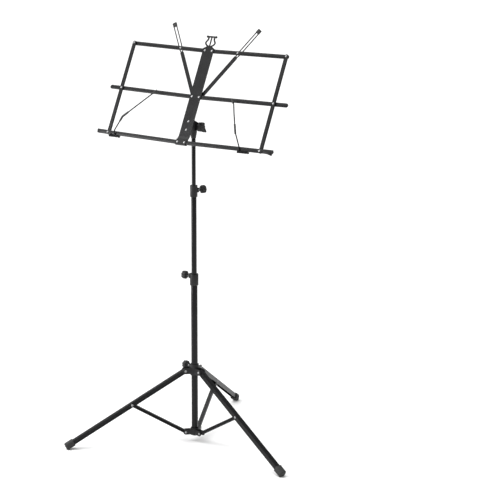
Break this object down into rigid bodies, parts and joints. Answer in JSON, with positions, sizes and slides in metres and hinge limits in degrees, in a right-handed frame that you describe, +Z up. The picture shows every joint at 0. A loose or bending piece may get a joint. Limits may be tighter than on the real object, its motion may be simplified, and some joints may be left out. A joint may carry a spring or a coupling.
{
  "type": "music stand",
  "caption": "Folding music stand: a wire-and-bar desk with page clips on a telescopic pole over a folding tripod with rubber feet.",
  "frame": {"origin": "on the pole axis at floor level, in the plane that the three rubber feet stand on", "axes": "+Z up along the pole, X along the desk bars, the musician on the -Y side"},
  "size_m": [0.5644, 0.5455, 1.0138],
  "materials": {
    "desk_black": "satin black paint on pressed steel",
    "leg_black": "satin black paint on pressed steel",
    "tube_black": "satin black paint on steel tube",
    "clamp_plastic": "black moulded plastic",
    "knob_plastic": "black moulded plastic",
    "guide_plastic": "grey nylon",
    "black_rubber": "matt black rubber",
    "rivet_steel": "bright zinc plated",
    "screw_steel": "bright zinc plated",
    "spring_wire": "black coated spring steel wire"
  },
  "bodies": {
    "lower_pole": {"lower_tube": "tube_black", "lower_clamp": "clamp_plastic", "tube_hub": "clamp_plastic", "hub_rivets": "rivet_steel"},
    "lower_knob": {"lower_knob": "knob_plastic", "lower_knob_screw": "screw_steel"},
    "middle_guide": {"middle_guide": "guide_plastic"},
    "middle_pole": {"middle_tube": "tube_black", "middle_clamp": "clamp_plastic"},
    "middle_knob": {"middle_knob": "knob_plastic", "middle_knob_screw": "screw_steel"},
    "upper_guide": {"upper_guide": "guide_plastic"},
    "upper_pole": {"upper_tube": "tube_black", "tilt_head": "clamp_plastic"},
    "desk": {"spine_plate": "desk_black", "tilt_bracket": "desk_black", "bracket_rivets": "rivet_steel", "spine_rivets": "rivet_steel", "tilt_bolt": "screw_steel"},
    "tilt_knob": {"tilt_knob": "knob_plastic"},
    "leg_collar": {"leg_collar": "clamp_plastic", "collar_rivets": "rivet_steel"},
    "collar_knob": {"collar_knob": "knob_plastic", "collar_knob_screw": "screw_steel"},
    "leg_1": {"leg_1": "leg_black", "leg_foot_1": "black_rubber", "leg_rivet_1": "rivet_steel"},
    "brace_1": {"brace_1": "leg_black"},
    "leg_2": {"leg_2": "leg_black", "leg_foot_2": "black_rubber", "leg_rivet_2": "rivet_steel"},
    "brace_2": {"brace_2": "leg_black"},
    "leg_3": {"leg_3": "leg_black", "leg_foot_3": "black_rubber", "leg_rivet_3": "rivet_steel"},
    "brace_3": {"brace_3": "leg_black"},
    "left_top_bar": {"left_top_bar": "desk_black", "left_slot_rivet": "rivet_steel"},
    "left_middle_bar": {"left_middle_bar": "desk_black"},
    "left_ledge_bar": {"left_ledge_bar": "desk_black", "left_clip_bracket": "desk_black"},
    "left_side_bar": {"left_side_bar": "desk_black", "left_side_rivets": "rivet_steel"},
    "left_page_arm": {"left_page_arm": "desk_black", "left_page_arm_wire": "desk_black", "left_page_arm_tip": "black_rubber"},
    "left_page_clip": {"left_clip_wire": "spring_wire", "left_clip_sleeves": "black_rubber"},
    "right_top_bar": {"right_top_bar": "desk_black", "right_slot_rivet": "rivet_steel"},
    "right_middle_bar": {"right_middle_bar": "desk_black"},
    "right_ledge_bar": {"right_ledge_bar": "desk_black", "right_clip_bracket": "desk_black"},
    "right_side_bar": {"right_side_bar": "desk_black", "right_side_rivets": "rivet_steel"},
    "right_page_arm": {"right_page_arm": "desk_black", "right_page_arm_wire": "desk_black", "right_page_arm_tip": "black_rubber"},
    "right_page_clip": {"right_clip_wire": "spring_wire", "right_clip_sleeves": "black_rubber"}
  },
  "joints": [
    {"name": "middle_tube_slide", "type": "slide", "parent": "lower_pole", "child": "middle_guide", "axis": [0, 0, 1], "range_m": [-0.18, 0.12]},
    {"name": "middle_tube_swivel", "type": "hinge", "parent": "middle_guide", "child": "middle_pole", "pos_m": [0, 0, 0.239], "axis": [0, 0, 1], "continuous": true},
    {"name": "upper_tube_slide", "type": "slide", "parent": "middle_pole", "child": "upper_guide", "axis": [0, 0, 1], "range_m": [-0.068, 0.15]},
    {"name": "upper_tube_swivel", "type": "hinge", "parent": "upper_guide", "child": "upper_pole", "pos_m": [0, 0, 0.443], "axis": [0, 0, 1], "continuous": true},
    {"name": "lower_knob_turn", "type": "hinge", "parent": "lower_pole", "child": "lower_knob", "pos_m": [0, 0, 0.4209], "axis": [-0.9994, -0.0349, 0], "continuous": true},
    {"name": "middle_knob_turn", "type": "hinge", "parent": "middle_pole", "child": "middle_knob", "pos_m": [0, 0, 0.6326], "axis": [0.4695, 0.8829, 0], "continuous": true},
    {"name": "desk_tilt", "type": "hinge", "parent": "upper_pole", "child": "desk", "pos_m": [0, 0, 0.787], "axis": [1, 0, 0], "range_deg": [-60, 28]},
    {"name": "tilt_knob_turn", "type": "hinge", "parent": "desk", "child": "tilt_knob", "pos_m": [0, 0, 0.787], "axis": [1, 0, 0], "continuous": true},
    {"name": "tripod_fold", "type": "hinge", "parent": "lower_pole", "child": "brace_1", "pos_m": [0.02262, -0.00638, 0.0249], "axis": [-0.2714, -0.9625, 0], "range_deg": [-5, 55.6]},
    {"name": "leg_1_hinge", "type": "hinge", "parent": "brace_1", "child": "leg_1", "pos_m": [0.1498, -0.04225, 0.10399], "axis": [-0.2714, -0.9625, 0], "range_deg": [-111.2, 10]},
    {"name": "collar_hinge", "type": "hinge", "parent": "leg_1", "child": "leg_collar", "pos_m": [0.02262, -0.00638, 0.18307], "axis": [-0.2714, -0.9625, 0], "range_deg": [-5, 55.6]},
    {"name": "collar_knob_turn", "type": "hinge", "parent": "leg_collar", "child": "collar_knob", "pos_m": [0, 0, 0.18957], "axis": [-0.9613, 0.2756, 0], "continuous": true},
    {"name": "leg_2_hinge", "type": "hinge", "parent": "leg_collar", "child": "leg_2", "pos_m": [-0.00578, 0.02278, 0.18307], "axis": [0.9692, 0.2462, 0], "range_deg": [-55.6, 5]},
    {"name": "brace_2_hinge", "type": "hinge", "parent": "lower_pole", "child": "brace_2", "pos_m": [-0.00578, 0.02278, 0.0249], "axis": [0.9692, 0.2462, 0], "range_deg": [-5, 55.6]},
    {"name": "leg_3_hinge", "type": "hinge", "parent": "leg_collar", "child": "leg_3", "pos_m": [-0.01683, -0.0164, 0.18307], "axis": [-0.6978, 0.7163, 0], "range_deg": [-55.6, 5]},
    {"name": "brace_3_hinge", "type": "hinge", "parent": "lower_pole", "child": "brace_3", "pos_m": [-0.01683, -0.0164, 0.0249], "axis": [-0.6978, 0.7163, 0], "range_deg": [-5, 55.6]},
    {"name": "left_wing_fold", "type": "hinge", "parent": "desk", "child": "left_top_bar", "pos_m": [-0.00975, 0.06419, 0.95789], "axis": [0, 0.8805, -0.4741], "range_deg": [0, 80]},
    {"name": "left_middle_fold", "type": "hinge", "parent": "desk", "child": "left_middle_bar", "pos_m": [-0.00975, 0.0092, 0.85576], "axis": [0, 0.8805, -0.4741], "range_deg": [0, 80]},
    {"name": "left_ledge_fold", "type": "hinge", "parent": "desk", "child": "left_ledge_bar", "pos_m": [-0.00975, -0.0458, 0.75362], "axis": [0, 0.8805, -0.4741], "range_deg": [0, 80]},
    {"name": "left_side_fold", "type": "hinge", "parent": "left_top_bar", "child": "left_side_bar", "pos_m": [-0.21523, 0.06555, 0.96042], "axis": [0, 0.8805, -0.4741], "range_deg": [-80, 0]},
    {"name": "left_page_arm_swing", "type": "hinge", "parent": "desk", "child": "left_page_arm", "pos_m": [-0.00975, 0.0092, 0.85576], "axis": [0, 0.8805, -0.4741], "range_deg": [0, 27.98]},
    {"name": "left_clip_swing", "type": "hinge", "parent": "left_ledge_bar", "child": "left_page_clip", "pos_m": [-0.19284, -0.05489, 0.75234], "axis": [0.9999, -0.0066, -0.0123], "range_deg": [0, 60], "stiffness_Nm_per_rad": 0.04, "springref_deg": -28.65},
    {"name": "right_wing_fold", "type": "hinge", "parent": "desk", "child": "right_top_bar", "pos_m": [0.00975, 0.06419, 0.95789], "axis": [0, -0.8805, 0.4741], "range_deg": [0, 80]},
    {"name": "right_middle_fold", "type": "hinge", "parent": "desk", "child": "right_middle_bar", "pos_m": [0.00975, 0.0092, 0.85576], "axis": [0, -0.8805, 0.4741], "range_deg": [0, 80]},
    {"name": "right_ledge_fold", "type": "hinge", "parent": "desk", "child": "right_ledge_bar", "pos_m": [0.00975, -0.0458, 0.75362], "axis": [0, -0.8805, 0.4741], "range_deg": [0, 80]},
    {"name": "right_side_fold", "type": "hinge", "parent": "right_top_bar", "child": "right_side_bar", "pos_m": [0.21523, 0.06555, 0.96042], "axis": [0, -0.8805, 0.4741], "range_deg": [-80, 0]},
    {"name": "right_page_arm_swing", "type": "hinge", "parent": "desk", "child": "right_page_arm", "pos_m": [0.00975, 0.0092, 0.85576], "axis": [0, -0.8805, 0.4741], "range_deg": [0, 27.98]},
    {"name": "right_clip_swing", "type": "hinge", "parent": "right_ledge_bar", "child": "right_page_clip", "pos_m": [0.17245, -0.05503, 0.75209], "axis": [0.9999, 0.0066, 0.0123], "range_deg": [0, 60], "stiffness_Nm_per_rad": 0.04, "springref_deg": -28.65}
  ],
  "couplings": [
    {"joint": "leg_1_hinge", "follows": "tripod_fold", "ratio": -2},
    {"joint": "collar_hinge", "follows": "tripod_fold", "ratio": 1},
    {"joint": "leg_2_hinge", "follows": "tripod_fold", "ratio": -1},
    {"joint": "brace_2_hinge", "follows": "tripod_fold", "ratio": 1},
    {"joint": "leg_3_hinge", "follows": "tripod_fold", "ratio": -1},
    {"joint": "brace_3_hinge", "follows": "tripod_fold", "ratio": 1},
    {"joint": "left_middle_fold", "follows": "left_wing_fold", "ratio": 1},
    {"joint": "left_ledge_fold", "follows": "left_wing_fold", "ratio": 1},
    {"joint": "left_side_fold", "follows": "left_wing_fold", "ratio": -1},
    {"joint": "left_page_arm_swing", "follows": "left_wing_fold", "ratio": 0.34975},
    {"joint": "right_middle_fold", "follows": "right_wing_fold", "ratio": 1},
    {"joint": "right_ledge_fold", "follows": "right_wing_fold", "ratio": 1},
    {"joint": "right_side_fold", "follows": "right_wing_fold", "ratio": -1},
    {"joint": "right_page_arm_swing", "follows": "right_wing_fold", "ratio": 0.34975}
  ]
}
